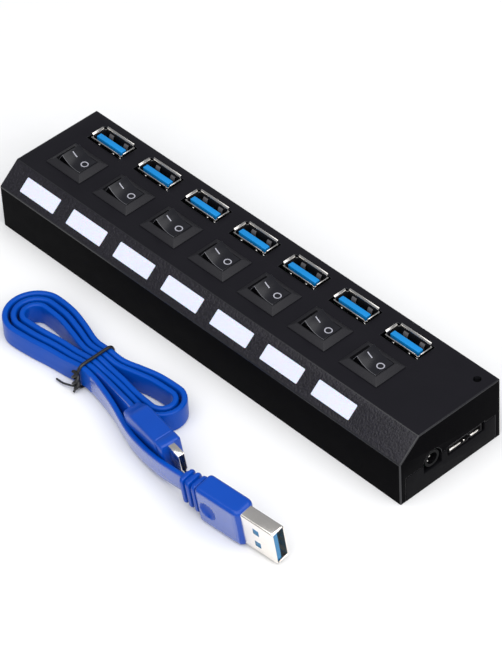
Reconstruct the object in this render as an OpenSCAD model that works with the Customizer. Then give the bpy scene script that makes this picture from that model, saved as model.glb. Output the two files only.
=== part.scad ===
// Seven-port USB 3.0 hub with a switch for every port, and its detachable flat cable.
// The table top is z = 0. X runs along the row of ports, Y from the front to the back.

/* [Housing] */
// Distance between two neighbouring ports
port_pitch = 20.5; // [19:0.1:26]
// Left end of the housing to the centre of the first port
left_margin = 15.1; // [15:0.1:30]
// Centre of the last port to the right end of the housing
right_margin = 28.5; // [28:0.1:50]
// Width of the housing, front to back
body_w = 38.4; // [37:0.1:60]
// Height of the housing
body_h = 21.1; // [20.5:0.1:32]
// Thickness of the shell's walls
wall = 2.0; // [1.4:0.1:2.6]
// How far the bevel along the front edge reaches back over the top
bevel_run = 7.3; // [6:0.1:9]
// How far the bevel reaches down the front
bevel_drop = 6.1; // [5:0.1:7]
// Thickness of the bottom cover's plate
floor_t = 2.0; // [1.6:0.1:2.2]
// Height of the seam on the end walls
seam_z = 8.8; // [8:0.1:10]
// Play between two fixed parts that slot together
part_gap = 0.1; // [0.05:0.01:0.2]

/* [Ports] */
// Outer length of a port's metal shell
port_l = 13.1; // [12.9:0.1:15.8]
// Outer depth of a port's metal shell
port_d = 5.7; // [5.6:0.1:7]
// Sheet thickness of the metal shells
sheet_t = 0.3; // [0.2:0.05:0.4]
// Centre of the ports from the housing's back face
port_from_back = 6.7; // [6:0.1:8]
// How far a port's shell stands above the housing
port_proud = 0.9; // [0.1:0.1:1.2]
// Gap round a port's shell in the housing
port_gap = 0.45; // [0.3:0.05:0.6]
// Thickness of a port's tongue
tongue_t = 1.84; // [1.6:0.02:2]
// Gap between a tongue and the front wall of its shell
tongue_gap = 0.9; // [0.5:0.1:1.1]

/* [Switches] */
// Length of a switch's bezel
bezel_l = 14.7; // [14:0.1:17.6]
// Width of a switch's bezel
bezel_w = 11.4; // [11:0.1:12]
// Height of a switch's bezel above the housing
bezel_h = 1.5; // [1:0.1:2.5]
// Offset of each switch and window from its port, towards the left end
switch_shift = 0.4; // [0:0.1:2]
// Length of the opening that a rocker sits in
opening_l = 10.4; // [10.2:0.1:11]
// Width of the opening that a rocker sits in
opening_w = 7.2; // [6.4:0.1:7.6]
// Play between a rocker's side and the opening, on each side
rocker_side_gap = 0.2; // [0.15:0.05:0.4]
// Diameter of a rocker's pivot pins
pivot_d = 2.0; // [1.6:0.1:2.4]
// Radial clearance of the pivot pins in their holes
pivot_clearance = 0.05; // [0.02:0.01:0.1]
// Tilt of a rocker to each side of its middle position
rocker_tilt = 18; // [10:1:18]

/* [Windows] */
// Length of a light window
window_l = 15.0; // [10:0.1:17]
// Height of a light window, measured up the bevel
window_h = 5.0; // [3:0.1:6]
// Lower edge of a window from the bevel's lower edge
window_low = 2.0; // [1.6:0.1:3]

/* [Sockets in the end wall] */
// Centre of the power jack from the front face
jack_from_front = 12.4; // [12:0.1:15]
// Height of the power jack's axis
jack_z = 9.0; // [8.9:0.1:9.6]
// Diameter of the barrel hole
jack_bore_d = 3.7; // [3.4:0.1:4.2]
// Centre of the upstream socket from the back face
upstream_from_back = 13.2; // [12:0.1:14]

/* [Cable] */
// Width of the flat cable
cable_w = 7.0; // [6:0.1:8]
// Thickness of the flat cable
cable_t = 1.7; // [1.2:0.1:1.9]

/* [Hidden] */
$fn = 48;
port_count = 7;
eps = 0.01;

// Housing
body_l = left_margin + (port_count - 1) * port_pitch + right_margin;
half_l = body_l / 2;
half_w = body_w / 2;
bevel_z = body_h - bevel_drop;
bevel_slope = bevel_drop / bevel_run;
bevel_angle = atan2(bevel_drop, bevel_run);
bevel_top_y = -half_w + bevel_run;
inner_l = half_l - wall;
inner_w = half_w - wall;
ceiling = body_h - wall;
// The bevel's inner face, a wall's thickness under the outer one
inner_rise = wall * (sqrt(1 + bevel_slope * bevel_slope) - bevel_slope);
inner_bevel_z = bevel_z - inner_rise;
inner_bevel_y = -inner_w + (ceiling - inner_bevel_z) / bevel_slope;

// Circuit board
pcb_t = 1.6;
pcb_gap = 0.5;
standoff_h = 2.6;
pcb_z = floor_t + standoff_h;
pcb_top = pcb_z + pcb_t;

// Rows
port_y = half_w - port_from_back;
function port_x(i) = -half_l + left_margin + (i - 1) * port_pitch;
function switch_x(i) = port_x(i) - switch_shift;
switch_y = (bevel_top_y + port_y - port_d / 2) / 2;

// Ports
port_top = body_h + port_proud;
front_gap = 0.9;
left_gap = 1.0;
flange_h = 0.5;
flange_out = 0.3;
tongue_base_h = 4.0;
tongue_w = 11.1;
tongue_sink = 0.4;
tongue_y = -port_d / 2 + sheet_t + tongue_gap + tongue_t / 2;

// Switches
frame_wall = 1.1;
frame_depth = 11.0;
frame_floor = 1.4;
frame_l = opening_l + 2 * frame_wall + 0.4;
frame_w = opening_w + 2 * frame_wall;
bezel_edge = 0.3;
pivot_drop = 1.2;
rocker_w = opening_w - 2 * rocker_side_gap;
rocker_end = opening_l / 2 - 1.3;
rocker_belly = opening_l / 2 - 0.3;
rocker_top = 4.3;
rocker_valley = 3.4;
nose_depth = 6.4;
pin_end = opening_w / 2 + frame_wall - 0.3;
lever_drop = 8.25;
lever_tilt = rocker_tilt / 2;
lever_l = 7.0;
lever_w = 3.0;
lever_t = 0.4;
lever_pin_d = 1.0;
terminal_x = 3.0;
terminal_l = 1.2;
terminal_t = 0.6;
terminal_rise = 0.3;

// Light windows and lamps
guide_t = 1.2;
guide_lip = 0.8;
pipe_d = 2.2;
pipe_in = 4.4;
lamp_l = 3.2;
lamp_w = 1.6;
lamp_h = 1.2;

// Sockets in the right end wall
jack_y = -half_w + jack_from_front;
jack_w = 6.2;
jack_l = 9.5;
jack_nose_d = 5.4;
jack_pin_d = 1.3;
arch_r = 3.4;
arch_bottom = 5.75;
jack_recess = 0.4;
upstream_y = half_w - upstream_from_back;
upstream_w = 12.6;
upstream_h = 2.6;
upstream_l = 5.6;
upstream_gap = 0.85;
upstream_step = 0.55;
upstream_long = 7.4;
upstream_short = 4.3;
upstream_tongue_t = 0.6;

// Screws and their bosses
first_port_edge = port_x(1) - port_l / 2;
last_port_edge = port_x(port_count) + port_l / 2;
screw_x = [(first_port_edge - inner_l) / 2, last_port_edge + 6.45];
screw_y = [bevel_top_y + 3.5, port_y];
boss_r = 2.3;
shank_r = 1.0;
shank_top = pcb_top + 6;
head_r = 2.0;
head_z = 0.6;
head_h = 1.5;

// Cable: places chosen by hand, on the table in front of the housing
tie_x = -13.6;
hank_outline = [
    [-40.9, -32.8], [-34, -33], [-27, -34.8], [-20, -36.9], [tie_x, -37.5], [-8, -37],
    [-2, -35.4], [4, -34], [11.4, -33.6], [11.4, -48], [4, -47.5], [-2, -46.5], [-8, -45.7],
    [-8, -49.7], [tie_x, -49.4], [-20, -49.8], [-27, -50.6], [-34, -51.8], [-40.9, -52.2]];
left_loop = [-40.9, -42.5];
left_loop_r = 9.7;
right_loop = [11.4, -40.8];
right_loop_r = 7.2;
tie_lift = 0.9;
// Each point is [x, y, z of the middle, lean towards the front in degrees]
lead_route = [
    [-8.2, -48.8, 4.2, 2], [-2, -50.1, 3.9, 4], [4, -51.8, 3.8, 6], [10, -54, 3.8, 7],
    [16, -56, 4, 7], [23, -57.5, 4.6, 7], [30, -58.5, 5.6, 7], [36, -58.9, 6.6, 7],
    [41.2, -58.9, 7.2, 7]];
tail_route = [
    [-8.2, -46.7, 4.2, 2], [-2, -47.8, 4.6, 4], [4, -49.3, 5.6, 6], [8, -50.4, 6.5, 7],
    [11.3, -51.2, 7, 7]];
tube_steps = 3;
plug_lean = 7;
usb_a_at = [41, -58.9, 7.2];
usb_a_yaw = 3.5;
usb_a_w = 13.6;
usb_a_t = 7.0;
relief_l = 7.5;
grip_l = 16.0;
usb_a_shell_l = 11.8;
micro_b_at = [11, -51.2, 7.0];
micro_b_yaw = -9;
micro_b_w = 13.2;
micro_b_t = 6.6;
micro_b_l = 20.9;
micro_b_shell_l = 5.2;

module rounded(l, w, r) {
    square([l - 2 * r, w], center = true);
    square([l, w - 2 * r], center = true);
    for (x = [-1, 1], y = [-1, 1])
        translate([x * (l / 2 - r), y * (w / 2 - r)]) circle(r);
}

// A block on its base, centred in X and Y
module block(l, w, h) {
    translate([-l / 2, -w / 2, 0]) cube([l, w, h]);
}

// Extrudes a shape drawn in Y and Z along X
module along_x(l) {
    rotate([90, 0, 90]) linear_extrude(l, center = true) children();
}

// Extrudes a shape drawn in X and Z along Y
module along_y(w) {
    rotate([90, 0, 0]) linear_extrude(w, center = true) children();
}

// A straight rod between two points
module rod(a, b, r) {
    v = b - a;
    translate(a)
        rotate([0, acos(v[2] / norm(v)), atan2(v[1], v[0])])
            cylinder(h = norm(v), r = r);
}

// Local Y runs up the bevel and local Z stands out of it
module on_bevel(x) {
    translate([x, -half_w, bevel_z]) rotate([bevel_angle, 0, 0]) children();
}

module at_screws() {
    for (x = screw_x, y = screw_y)
        translate([x, y, 0]) children();
}

module jack_arch(extra) {
    along_x(4 * wall) {
        translate([jack_y, jack_z]) circle(arch_r + extra);
        translate([jack_y - arch_r - extra, arch_bottom - extra])
            square([2 * (arch_r + extra), jack_z - arch_bottom + extra]);
    }
}

module end_cutouts() {
    translate([half_l, 0, 0]) jack_arch(0);
    translate([half_l, upstream_y, pcb_top - 0.2])
        block(4 * wall, upstream_w + 2 * upstream_gap, upstream_h + 0.8);
}

module top_shell() {
    color("#1f1e22")
    difference() {
        union() {
            difference() {
                along_x(body_l) polygon([
                    [-half_w, 0.1], [-half_w, bevel_z], [bevel_top_y, body_h],
                    [half_w, body_h], [half_w, 0.1]]);
                along_x(2 * inner_l) polygon([
                    [-inner_w, -1], [-inner_w, inner_bevel_z], [inner_bevel_y, ceiling],
                    [inner_w, ceiling], [inner_w, -1]]);
                translate([0, 0, -1]) block(body_l + 2, 2 * inner_w, seam_z + 1);
            }
            at_screws()
                translate([0, 0, pcb_top + part_gap])
                    cylinder(h = ceiling - pcb_top - part_gap + wall / 2, r = boss_r);
        }
        for (i = [1:port_count]) {
            translate([port_x(i) - (left_gap - port_gap) / 2, port_y - (front_gap - port_gap) / 2, ceiling - 1])
                block(port_l + port_gap + left_gap, port_d + port_gap + front_gap, wall + 2);
            translate([switch_x(i), switch_y, ceiling - 1])
                block(frame_l + 2 * part_gap, frame_w + 2 * part_gap, wall + 2);
            on_bevel(switch_x(i))
                translate([0, window_low + window_h / 2, -wall - 1])
                    linear_extrude(wall + 2) rounded(window_l, window_h, 0.4);
        }
        translate([half_l - pipe_in, half_w - pipe_in, ceiling - 1])
            cylinder(h = wall + 2, d = pipe_d + 2 * part_gap);
        at_screws()
            translate([0, 0, pcb_top]) cylinder(h = shank_top - pcb_top + 0.5, r = shank_r + 0.03);
        end_cutouts();
    }
}

module bottom_cover() {
    color("#232226")
    difference() {
        union() {
            block(body_l, 2 * (inner_w - part_gap), floor_t);
            for (side = [-1, 1])
                translate([side * (half_l - wall / 2), 0, 0])
                    block(wall, 2 * (inner_w - part_gap), seam_z - part_gap);
            at_screws() cylinder(h = pcb_z, r = boss_r + 0.6);
            for (i = [2:2:port_count])
                translate([port_x(i), -inner_w + 3, 0]) cylinder(h = pcb_z, r = boss_r);
        }
        at_screws() {
            translate([0, 0, -1]) cylinder(h = 1 + head_z + head_h, r = head_r + 0.2);
            translate([0, 0, -1]) cylinder(h = pcb_z + 2, r = shank_r + 0.2);
        }
        end_cutouts();
    }
}

module main_pcb() {
    color("#0e4a2b")
    difference() {
        translate([0, 0, pcb_z])
            block(2 * (inner_l - pcb_gap), 2 * (inner_w - pcb_gap), pcb_t);
        at_screws() translate([0, 0, pcb_z - 1]) cylinder(h = pcb_t + 2, r = shank_r + 0.3);
    }
}

module light_guide() {
    first = switch_x(1) - window_l / 2;
    last = switch_x(port_count) + window_l / 2;
    color("#f2f4ff") {
        on_bevel((first + last) / 2)
            translate([0, window_low + window_h / 2, -wall - part_gap - guide_t])
                block(last - first + 2 * guide_lip, window_h + 2 * guide_lip, guide_t);
        for (i = [1:port_count])
            on_bevel(switch_x(i))
                translate([0, window_low + window_h / 2, -wall - part_gap - eps])
                    linear_extrude(wall + part_gap + eps)
                        rounded(window_l - 2 * part_gap, window_h - 2 * part_gap, 0.35);
    }
}

module port_shell(i) {
    color("#b9b6b4")
    translate([port_x(i), port_y, 0])
    difference() {
        union() {
            translate([0, 0, pcb_top]) block(port_l, port_d, port_top - pcb_top);
            translate([0, 0, port_top - flange_h])
                block(port_l + 2 * flange_out, port_d + 2 * flange_out, flange_h);
        }
        translate([0, 0, pcb_top - 1])
            block(port_l - 2 * sheet_t, port_d - 2 * sheet_t, port_top - pcb_top + 2);
    }
}

module port_tongue(i) {
    color("#1e9be8")
    translate([port_x(i), port_y, pcb_top]) {
        block(port_l - 2 * sheet_t, port_d - 2 * sheet_t, tongue_base_h);
        translate([0, tongue_y, tongue_base_h - eps])
            block(tongue_w, tongue_t, port_top - tongue_sink - pcb_top - tongue_base_h + eps);
    }
}

module port_contacts() {
    contact_z = pcb_top + tongue_base_h + 1;
    contact_h = port_top - tongue_sink - 1.5 - contact_z;
    color("#d8b04c")
    for (i = [1:port_count], x = [-3.5, -1, 1, 3.5])
        translate([port_x(i) + x, port_y + tongue_y + tongue_t / 2 + 0.1, contact_z])
            block(1.2, 0.2, contact_h);
}

module indicator_leds() {
    color("#f4f0d8") {
        for (i = [1:port_count])
            translate([switch_x(i), -inner_w + 4.6, pcb_top]) block(lamp_l, lamp_w, lamp_h);
        translate([half_l - pipe_in, half_w - pipe_in, pcb_top]) block(lamp_w, lamp_w, lamp_h);
    }
}

module power_light_pipe() {
    color("#cfd6e0")
    translate([half_l - pipe_in, half_w - pipe_in, pcb_top + lamp_h])
        cylinder(h = body_h - 0.9 - pcb_top - lamp_h, d = pipe_d);
}

module dc_jack_body() {
    back = half_l - wall - 0.3 - jack_l;
    color("#141416")
    difference() {
        union() {
            translate([back + jack_l / 2, jack_y, pcb_top]) block(jack_l, jack_w, 2 * (jack_z - pcb_top));
            translate([half_l - wall - 0.5, jack_y, jack_z])
                rotate([0, 90, 0]) cylinder(h = wall + 0.5 - jack_recess, d = jack_nose_d);
        }
        translate([back + 2, jack_y, jack_z])
            rotate([0, 90, 0]) cylinder(h = jack_l + wall + 2, d = jack_bore_d);
    }
}

module dc_jack_contacts() {
    back = half_l - wall - 0.3 - jack_l;
    color("#d9d6d0") {
        translate([back + 2, jack_y, jack_z])
            rotate([0, 90, 0]) cylinder(h = jack_l - 0.6, d = jack_pin_d);
        translate([back + 5, jack_y, jack_z + jack_bore_d / 2 - 0.5]) block(5, 0.8, 0.25);
    }
}

// Outline of the wide upstream socket: a long part, a neck and a short part
module upstream_outline(inset) {
    left = upstream_y - upstream_w / 2;
    translate([left + inset, inset])
        square([upstream_long - 2 * inset, upstream_h - 2 * inset]);
    translate([left + upstream_w - upstream_short + inset, inset])
        square([upstream_short - 2 * inset, upstream_h - 2 * inset]);
    translate([left + upstream_long - 2 * inset, upstream_step + inset])
        square([upstream_w - upstream_long - upstream_short + 4 * inset,
                upstream_h - 2 * upstream_step - 2 * inset]);
}

module upstream_shell() {
    color("#c9c7c4")
    translate([half_l - jack_recess - upstream_l / 2, 0, pcb_top + 0.05])
    difference() {
        along_x(upstream_l) upstream_outline(0);
        translate([0.4, 0, 0]) along_x(upstream_l) upstream_outline(sheet_t);
    }
}

module upstream_tongue() {
    tongue_l = upstream_l - 1.2;
    t = upstream_tongue_t;
    color("#18181a")
    translate([half_l - jack_recess - upstream_l + 0.4 + tongue_l / 2, upstream_y,
               pcb_top + 0.05 + (upstream_h - t) / 2]) {
        translate([0, (upstream_long - upstream_w) / 2, 0]) block(tongue_l, upstream_long / 2, t);
        translate([0, (upstream_w - upstream_short) / 2, 0]) block(tongue_l, upstream_short / 2, t);
    }
}

module controller_chips() {
    chip_y = switch_y - 7.2;
    color("#17171a") {
        for (i = [2, 6])
            translate([port_x(i) + port_pitch / 2, chip_y, pcb_top]) block(7, 7, 0.9);
        translate([port_x(4) + port_pitch / 2, chip_y, pcb_top]) block(5, 4, 1.5);
        translate([port_x(3), port_y - 7, pcb_top]) block(3, 3, 1.1);
    }
}

// Two cans, evenly spaced between the last port and the back of the upstream socket
module capacitors() {
    can_d = 6;
    gap = (half_l - jack_recess - upstream_l - last_port_edge - 2 * can_d) / 3;
    color("#8f939a")
    for (k = [0, 1])
        translate([last_port_edge + (k + 1) * gap + (k + 0.5) * can_d, switch_y + 4, pcb_top])
            cylinder(h = 7.5, d = can_d);
}

module switch_terminals() {
    top = body_h - frame_depth + frame_floor + terminal_rise;
    color("#caa24a")
    for (i = [1:port_count], side = [-1, 1])
        translate([switch_x(i) + side * terminal_x, switch_y, pcb_top])
            block(terminal_l, terminal_t, top - pcb_top);
}

module case_screws() {
    color("#8d9096")
    at_screws()
    difference() {
        union() {
            translate([0, 0, head_z]) cylinder(h = head_h, r = head_r);
            translate([0, 0, head_z + head_h - eps])
                cylinder(h = shank_top - head_z - head_h, r = shank_r);
        }
        translate([0, 0, head_z - 1]) block(2.6, 0.6, 1.8);
        translate([0, 0, head_z - 1]) block(0.6, 2.6, 1.8);
    }
}

module at_switch(i) {
    translate([switch_x(i), switch_y, body_h]) children();
}

module switch_frame(i) {
    color("#29282d")
    at_switch(i)
    difference() {
        union() {
            intersection() {
                along_y(bezel_w) polygon([
                    [-bezel_l / 2, 0], [-bezel_l / 2, bezel_edge], [-opening_l / 2 - 0.1, bezel_h],
                    [opening_l / 2 + 0.1, bezel_h], [bezel_l / 2, bezel_edge], [bezel_l / 2, 0]]);
                along_x(bezel_l) polygon([
                    [-bezel_w / 2, 0], [-bezel_w / 2, bezel_edge], [-opening_w / 2 - 0.1, bezel_h],
                    [opening_w / 2 + 0.1, bezel_h], [bezel_w / 2, bezel_edge], [bezel_w / 2, 0]]);
            }
            translate([0, 0, -frame_depth]) block(frame_l, frame_w, frame_depth + eps);
        }
        translate([0, 0, -frame_depth + frame_floor])
            block(opening_l, opening_w, frame_depth + bezel_h);
        translate([0, 0, -pivot_drop])
            rotate([90, 0, 0])
                cylinder(h = frame_w + 2, d = pivot_d + 2 * pivot_clearance, center = true);
        translate([0, 0, -lever_drop])
            rotate([90, 0, 0])
                cylinder(h = frame_w + 2, d = lever_pin_d + 2 * pivot_clearance, center = true);
        for (side = [-1, 1])
            translate([side * terminal_x, 0, -frame_depth - 1])
                block(terminal_l, terminal_t, frame_floor + 2);
    }
}

// A rocker with its right end, the off end, pressed down
module switch_rocker(i) {
    color("#26252b")
    at_switch(i)
    translate([0, 0, -pivot_drop])
    rotate([0, rocker_tilt, 0]) {
        along_y(rocker_w) polygon([
            [-rocker_end, rocker_top], [0, rocker_valley], [rocker_end, rocker_top],
            [rocker_belly, 1], [rocker_belly - 0.6, -0.6], [1.6, -1.2], [0.8, -nose_depth],
            [-0.8, -nose_depth], [-1.6, -1.2], [-rocker_belly + 0.6, -0.6], [-rocker_belly, 1]]);
        rotate([90, 0, 0]) cylinder(h = 2 * pin_end, d = pivot_d, center = true);
    }
}

// The blade under a rocker's nose, which tips the other way
module contact_lever(i) {
    color("#c9a14b")
    at_switch(i)
    translate([0, 0, -lever_drop])
    rotate([0, -lever_tilt, 0]) {
        translate([0, 0, -lever_t / 2]) block(lever_l, lever_w, lever_t);
        rotate([90, 0, 0]) cylinder(h = 2 * pin_end, d = lever_pin_d, center = true);
    }
}

// Flat tube along a route of [x, y, z, lean]
function mix4(a, b, c, d, t) =
    ((-a + 3 * b - 3 * c + d) * t * t * t + (2 * a - 5 * b + 4 * c - d) * t * t + (c - a) * t + 2 * b) / 2;
function curve(route, steps) =
    let (last = len(route) - 1)
    [for (k = [0:last * steps])
        let (s = min(floor(k / steps), last - 1), t = k / steps - s)
        mix4(route[max(s - 1, 0)], route[s], route[s + 1], route[min(s + 2, last)], t)];
function ring(points, k, w, t) =
    let (last = len(points) - 1,
         ahead = points[min(k + 1, last)],
         behind = points[max(k - 1, 0)],
         run = [ahead[0] - behind[0], ahead[1] - behind[1]],
         side = [-run[1], run[0], 0] / norm(run),
         lean = points[k][3],
         up = [0, 0, cos(lean)] - side * sin(lean),
         across = side * cos(lean) + [0, 0, sin(lean)],
         c = 0.3)
    [for (p = [[-t / 2, -w / 2 + c], [-t / 2 + c, -w / 2], [t / 2 - c, -w / 2], [t / 2, -w / 2 + c],
               [t / 2, w / 2 - c], [t / 2 - c, w / 2], [-t / 2 + c, w / 2], [-t / 2, w / 2 - c]])
        [points[k][0], points[k][1], points[k][2]] + across * p[0] + up * p[1]];

module flat_tube(route) {
    points = curve(route, tube_steps);
    rings = [for (k = [0:len(points) - 1]) ring(points, k, cable_w, cable_t)];
    sides = 8;
    last = len(rings) - 1;
    polyhedron(
        points = [for (r = rings, p = r) p],
        faces = concat(
            [[for (j = [0:sides - 1]) j]],
            [[for (j = [sides - 1:-1:0]) last * sides + j]],
            [for (k = [0:last - 1], j = [0:sides - 1], h = [0, 1])
                let (a = k * sides + j, b = k * sides + (j + 1) % sides)
                h == 0 ? [b, a, a + sides] : [b, a + sides, b + sides]]));
}

module cable_hank() {
    color("#0b4fc4")
    difference() {
        union() {
            linear_extrude(cable_w) polygon(hank_outline);
            translate(left_loop) cylinder(h = cable_w, r = left_loop_r);
            translate(right_loop) cylinder(h = cable_w, r = right_loop_r);
        }
        translate([tie_x, left_loop[1], -1]) block(1.6, 30, 1 + tie_lift);
    }
}

module cable_lead() {
    color("#0b4fc4") flat_tube(lead_route);
}

module cable_tail() {
    color("#0b4fc4") flat_tube(tail_route);
}

// Local X runs out of the plug, and local Z across its wide side
module at_plug(place, yaw) {
    translate(place) rotate([0, 0, yaw]) rotate([plug_lean, 0, 0]) children();
}

module usb_a_mould() {
    color("#1547b8")
    at_plug(usb_a_at, usb_a_yaw) {
        translate([relief_l / 2, 0, 0]) along_x(relief_l + eps) rounded(4, 8.4, 0.8);
        for (k = [0:2])
            translate([1.1 + 2.3 * k, 0, 0]) along_x(1.3) rounded(5.2 + 0.3 * k, 9.6 + 0.4 * k, 1);
        translate([relief_l + grip_l / 2, 0, 0]) along_x(grip_l) rounded(usb_a_t, usb_a_w, 1);
    }
}

module usb_a_shell() {
    start = relief_l + grip_l;
    color("#cfcac2")
    at_plug(usb_a_at, usb_a_yaw)
    difference() {
        translate([start + usb_a_shell_l / 2, 0, 0]) along_x(usb_a_shell_l) rounded(4.5, 12, 0.4);
        translate([start + usb_a_shell_l / 2 + sheet_t, 0, 0])
            along_x(usb_a_shell_l) rounded(4.5 - 2 * sheet_t, 12 - 2 * sheet_t, 0.3);
        for (z = [-2.5, 2.5])
            translate([start + 5.2, 0, z]) cube([2.2, 12, 2.2], center = true);
    }
}

module usb_a_tongue() {
    start = relief_l + grip_l;
    tongue_l = usb_a_shell_l - sheet_t - 0.4;
    color("#1e7fd0")
    at_plug(usb_a_at, usb_a_yaw)
        translate([start + sheet_t + tongue_l / 2, -2.25 + sheet_t + 1, 0])
            along_x(tongue_l) square([1.9, 11], center = true);
}

module micro_b_mould() {
    taper = 6;
    color("#0b4fc4")
    at_plug(micro_b_at, micro_b_yaw)
    intersection() {
        linear_extrude(micro_b_w + 2, center = true) polygon([
            [0, -2.2], [taper, -micro_b_t / 2], [micro_b_l, -micro_b_t / 2],
            [micro_b_l, micro_b_t / 2], [taper, micro_b_t / 2], [0, 2.2]]);
        along_y(micro_b_t + 2) polygon([
            [0, -4.4], [taper, -micro_b_w / 2], [micro_b_l, -micro_b_w / 2],
            [micro_b_l, micro_b_w / 2], [taper, micro_b_w / 2], [0, 4.4]]);
        translate([micro_b_l / 2, 0, 0]) along_x(micro_b_l + 2) rounded(micro_b_t, micro_b_w, 1);
    }
}

module micro_b_outline(inset) {
    translate([0, 2.65]) square([2.0 - 2 * inset, 6.9 - 2 * inset], center = true);
    translate([0, -4.05]) square([2.0 - 2 * inset, 4.1 - 2 * inset], center = true);
    translate([0, -1.4]) square([1.1 - 2 * inset, 1.4 + 2 * inset], center = true);
}

module micro_b_shell() {
    color("#c9c7c4")
    at_plug(micro_b_at, micro_b_yaw)
    difference() {
        translate([micro_b_l + micro_b_shell_l / 2, 0, 0])
            along_x(micro_b_shell_l) micro_b_outline(0);
        translate([micro_b_l + micro_b_shell_l / 2 + sheet_t, 0, 0])
            along_x(micro_b_shell_l) micro_b_outline(0.25);
    }
}

module twist_tie() {
    tie_t = 0.8;
    bundle_y = [-49.75, -37.25];
    bundle_z = cable_w + tie_lift;
    mid_y = (bundle_y[0] + bundle_y[1]) / 2;
    span = bundle_y[1] - bundle_y[0];
    knot = [tie_x - 0.3, bundle_y[0] - 1.3, 2.2];
    color("#1b1b1d") {
        translate([tie_x, mid_y, (bundle_z + tie_lift) / 2])
            along_x(1.1)
                difference() {
                    rounded(span + 2 * tie_t, bundle_z - tie_lift + 2 * tie_t, 0.8);
                    square([span, bundle_z - tie_lift], center = true);
                }
        translate(knot) cylinder(h = 5.4, r = 1.1);
        rod(knot + [0, 0, 0.6], [tie_x - 7.4, bundle_y[0] - 2.6, 0.8], 0.45);
        rod(knot + [0.2, 0, 0.4], [tie_x + 0.2, bundle_y[0] - 2.6, 0.7], 0.45);
    }
}

top_shell();
bottom_cover();
main_pcb();
light_guide();
port_contacts();
indicator_leds();
power_light_pipe();
dc_jack_body();
dc_jack_contacts();
upstream_shell();
upstream_tongue();
controller_chips();
capacitors();
switch_terminals();
case_screws();
for (i = [1:port_count]) {
    port_shell(i);
    port_tongue(i);
    switch_frame(i);
    switch_rocker(i);
    contact_lever(i);
}
cable_hank();
cable_lead();
cable_tail();
usb_a_mould();
usb_a_shell();
usb_a_tongue();
micro_b_mould();
micro_b_shell();
twist_tie();
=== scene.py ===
# %% [markdown]
# # A seven-port USB hub and its flat cable
# The hub is a long black box with a bevel along its front edge. Each port has a
# rocker switch and a light window of its own. A flat blue cable lies in front of
# it, folded into a hank under a twist tie.
#
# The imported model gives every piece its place. This lesson gives each piece its
# finer shape and its finish. Lengths are in metres, and `MM` turns a length in
# millimetres into metres.

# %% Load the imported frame
import bpy
import bmesh
import math
from mathutils import Matrix, Vector


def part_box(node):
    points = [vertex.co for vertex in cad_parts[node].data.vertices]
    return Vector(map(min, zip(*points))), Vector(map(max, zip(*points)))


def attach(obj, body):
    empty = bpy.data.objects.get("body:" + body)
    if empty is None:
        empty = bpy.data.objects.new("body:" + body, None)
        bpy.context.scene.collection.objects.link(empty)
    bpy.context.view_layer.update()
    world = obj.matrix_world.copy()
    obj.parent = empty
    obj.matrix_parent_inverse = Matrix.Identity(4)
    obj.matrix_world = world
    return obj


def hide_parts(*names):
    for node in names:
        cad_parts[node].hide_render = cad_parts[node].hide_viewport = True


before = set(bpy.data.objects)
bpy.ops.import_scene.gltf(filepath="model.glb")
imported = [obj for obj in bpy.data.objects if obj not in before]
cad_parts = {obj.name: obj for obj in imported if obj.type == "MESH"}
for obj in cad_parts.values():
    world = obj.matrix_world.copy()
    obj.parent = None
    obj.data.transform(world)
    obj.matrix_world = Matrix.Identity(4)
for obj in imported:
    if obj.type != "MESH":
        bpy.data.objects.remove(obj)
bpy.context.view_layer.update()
scene = bpy.context.scene
MM = 0.001
PORTS = range(1, 8)

# %% [markdown]
# ## The camera
# A camera looks along its own -Z axis, with +X to its right and +Y up. Those
# three directions are the columns of its matrix, so writing them down places it
# exactly. A long lens from about a metre away keeps the row of ports nearly
# parallel, so the first port looks as large as the last.

# %% Place the camera
CAMERA_AT = Vector((0.58114, -0.49487, 0.69616))
CAMERA_AXES = ((0.680668, 0.731192, -0.045270),
               (-0.472377, 0.485290, 0.735767),
               (0.559956, -0.479429, 0.675720))


def linked(name, data):
    """A new object in the scene."""
    made = bpy.data.objects.new(name, data)
    scene.collection.objects.link(made)
    return made


camera = linked("camera", bpy.data.cameras.new("camera"))
camera.matrix_world = Matrix.Translation(CAMERA_AT) @ Matrix(CAMERA_AXES).transposed().to_4x4()
camera.data.lens = 194.76
camera.data.clip_start = 0.01
scene.camera = camera
print("camera", round(CAMERA_AT.length, 3), "m from the origin")

# %% [markdown]
# ## Light and floor
# Black plastic shows what it mirrors more than its own colour. The room is kept
# dim and one large soft box hangs overhead, so flat faces stay dark and only the
# rounded edges catch a thin line of light. A small, weak box at the right keeps the
# end wall readable. The floor is almost white, and glossy pieces near it pick up
# its paleness from below.

# %% Build the studio
world = bpy.data.worlds.new("studio")
world.use_nodes = True
background = world.node_tree.nodes["Background"]
background.inputs["Color"].default_value = (0.93, 0.95, 1.0, 1)
background.inputs["Strength"].default_value = 0.34
scene.world = world
scene.view_settings.view_transform = "Standard"


def soft_box(name, place, target, size, watts):
    """A rectangular light at `place` that faces `target`."""
    light = linked(name, bpy.data.lights.new(name, "AREA"))
    light.data.shape = "RECTANGLE"
    light.data.size, light.data.size_y = size
    light.data.energy = watts
    light.location = place
    light.rotation_mode = "QUATERNION"
    light.rotation_quaternion = (Vector(target) - Vector(place)).to_track_quat("-Z", "Y")


soft_box("overhead_box", (0.45, -0.4, 1.2), (0, 0, 0), (2.2, 2.2), 31)
soft_box("right_box", (1.0, 0.15, 0.55), (0.08, 0, 0), (0.6, 0.5), 2.2)

# %% [markdown]
# ## Finishes
# Every finish is made from nodes that read Object coordinates, so its grain has a
# real size on the piece. A noise breaks up the colour a little, a second one
# varies the roughness as handling does, and a fine one drives a bump node for the
# texture of the mould.

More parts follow.
